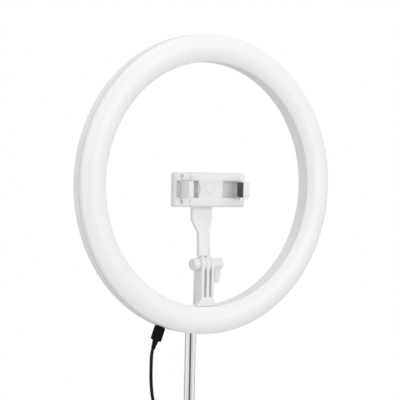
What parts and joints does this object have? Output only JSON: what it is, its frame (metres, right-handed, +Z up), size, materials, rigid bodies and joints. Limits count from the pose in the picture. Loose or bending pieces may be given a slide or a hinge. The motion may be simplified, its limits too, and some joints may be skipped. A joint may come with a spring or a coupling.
{
  "type": "ring light",
  "caption": "Ring-shaped LED lamp with a frosted front, a folding phone clamp in its middle, and a telescoping stand on folding legs.",
  "frame": {"origin": "middle of the footprint on the floor, under the lamp", "axes": "+Z up, the lamp faces -Y, +X to the right seen from the lamp's front"},
  "size_m": [0.4782, 0.4168, 0.7901],
  "materials": {
    "diffuser": "frosted translucent acrylic",
    "white_plastic": "satin moulded",
    "circuit": "solder mask",
    "steel": "zinc plated",
    "chrome": "polished",
    "black_plastic": "fine moulded texture",
    "grey_rubber": "soft matte",
    "black_rubber": "soft matte",
    "cable": "smooth jacket"
  },
  "bodies": {
    "base": {"leg_hub": "black_plastic", "leg_pin_1": "steel", "leg_pin_2": "steel", "leg_pin_3": "steel", "cord_lower": "cable", "cord_coil": "cable", "cord_tie": "black_rubber", "cord_tail": "cable", "usb_plug_body": "black_plastic", "usb_plug_shell": "steel"},
    "front_leg": {"leg_1": "black_plastic", "foot_1": "black_rubber"},
    "right_leg": {"leg_2": "black_plastic", "foot_2": "black_rubber"},
    "left_leg": {"leg_3": "black_plastic", "foot_3": "black_rubber"},
    "column": {"column_tube": "chrome", "column_plug": "black_plastic", "collar": "black_plastic"},
    "lock_knob": {"lock_knob": "black_plastic"},
    "mast": {"mast_tube": "chrome", "mast_bushing": "black_plastic", "tilt_fork": "black_plastic", "tilt_bolt": "steel", "mast_clip": "black_plastic", "cord_middle": "cable"},
    "tilt_knob": {"tilt_knob": "black_plastic"},
    "head": {"diffuser": "diffuser", "rear_housing": "white_plastic", "led_board": "circuit", "driver_board": "circuit", "usb_socket": "steel", "housing_screw_1": "steel", "housing_screw_2": "steel", "housing_screw_3": "steel", "housing_screw_4": "steel", "ring_bracket": "black_plastic", "holder_post": "white_plastic", "ring_plug": "black_plastic", "cord_upper": "cable", "hinge_bolt": "steel", "hinge_nut_cap": "white_plastic"},
    "mode_button": {"mode_button": "white_plastic"},
    "brighter_button": {"brighter_button": "white_plastic"},
    "dimmer_button": {"dimmer_button": "white_plastic"},
    "hinge_knob": {"hinge_knob": "white_plastic"},
    "arm": {"phone_arm": "white_plastic", "swivel_screw": "steel"},
    "clamp": {"clamp_front": "white_plastic", "clamp_back": "white_plastic", "clamp_spring": "steel"},
    "clamp_slide": {"clamp_slide_end": "white_plastic", "guide_rod_upper": "steel", "guide_rod_lower": "steel"},
    "left_jaw": {"left_jaw": "white_plastic", "left_jaw_pad": "grey_rubber"},
    "right_jaw": {"right_jaw": "white_plastic", "right_jaw_pad": "grey_rubber"}
  },
  "joints": [
    {"name": "front_leg_fold", "type": "hinge", "parent": "base", "child": "front_leg", "pos_m": [0, 0.04025, 0.1], "axis": [1, 0, 0], "range_deg": [0, 68]},
    {"name": "right_leg_fold", "type": "hinge", "parent": "base", "child": "right_leg", "pos_m": [0.02252, 0.07925, 0.1], "axis": [-0.5, 0.866, 0], "range_deg": [0, 68]},
    {"name": "left_leg_fold", "type": "hinge", "parent": "base", "child": "left_leg", "pos_m": [-0.02252, 0.07925, 0.1], "axis": [-0.5, -0.866, 0], "range_deg": [0, 68]},
    {"name": "column_pan", "type": "hinge", "parent": "base", "child": "column", "pos_m": [0, 0.06625, 0.1], "axis": [0, 0, 1], "range_deg": [-90, 90]},
    {"name": "lock_knob_turn", "type": "hinge", "parent": "column", "child": "lock_knob", "pos_m": [0, 0.06625, 0.353], "axis": [0, 1, 0], "continuous": true},
    {"name": "mast_slide", "type": "slide", "parent": "column", "child": "mast", "axis": [0, 0, 1], "range_m": [0, 0.19]},
    {"name": "tilt_knob_turn", "type": "hinge", "parent": "mast", "child": "tilt_knob", "pos_m": [0, 0.06625, 0.506], "axis": [1, 0, 0], "continuous": true},
    {"name": "head_tilt", "type": "hinge", "parent": "mast", "child": "head", "pos_m": [0, 0.06625, 0.506], "axis": [1, 0, 0], "range_deg": [-60, 18]},
    {"name": "mode_button_press", "type": "slide", "parent": "head", "child": "mode_button", "axis": [0, -1, 0], "range_m": [0, 0.0008], "stiffness_N_per_m": 300},
    {"name": "brighter_button_press", "type": "slide", "parent": "head", "child": "brighter_button", "axis": [0, -1, 0], "range_m": [0, 0.0008], "stiffness_N_per_m": 300},
    {"name": "dimmer_button_press", "type": "slide", "parent": "head", "child": "dimmer_button", "axis": [0, -1, 0], "range_m": [0, 0.0008], "stiffness_N_per_m": 300},
    {"name": "hinge_knob_turn", "type": "hinge", "parent": "head", "child": "hinge_knob", "pos_m": [0, 0.04395, 0.5597], "axis": [1, 0, 0], "continuous": true},
    {"name": "arm_fold", "type": "hinge", "parent": "head", "child": "arm", "pos_m": [0, 0.04395, 0.5597], "axis": [1, 0, 0], "range_deg": [-80, 80]},
    {"name": "clamp_swivel", "type": "hinge", "parent": "arm", "child": "clamp", "pos_m": [0, 0.04855, 0.635], "axis": [0, 1, 0], "range_deg": [-30, 30]},
    {"name": "clamp_open", "type": "slide", "parent": "clamp", "child": "clamp_slide", "axis": [-1, 0, 0], "range_m": [0, 0.024], "stiffness_N_per_m": 150, "springref_m": -0.01, "deforming": ["clamp_spring"]},
    {"name": "left_jaw_fold", "type": "hinge", "parent": "clamp_slide", "child": "left_jaw", "pos_m": [-0.0316, 0.04155, 0.635], "axis": [0, 0, 1], "range_deg": [0, 90]},
    {"name": "right_jaw_fold", "type": "hinge", "parent": "clamp", "child": "right_jaw", "pos_m": [0.0391, 0.04155, 0.635], "axis": [0, 0, -1], "range_deg": [0, 90]}
  ]
}
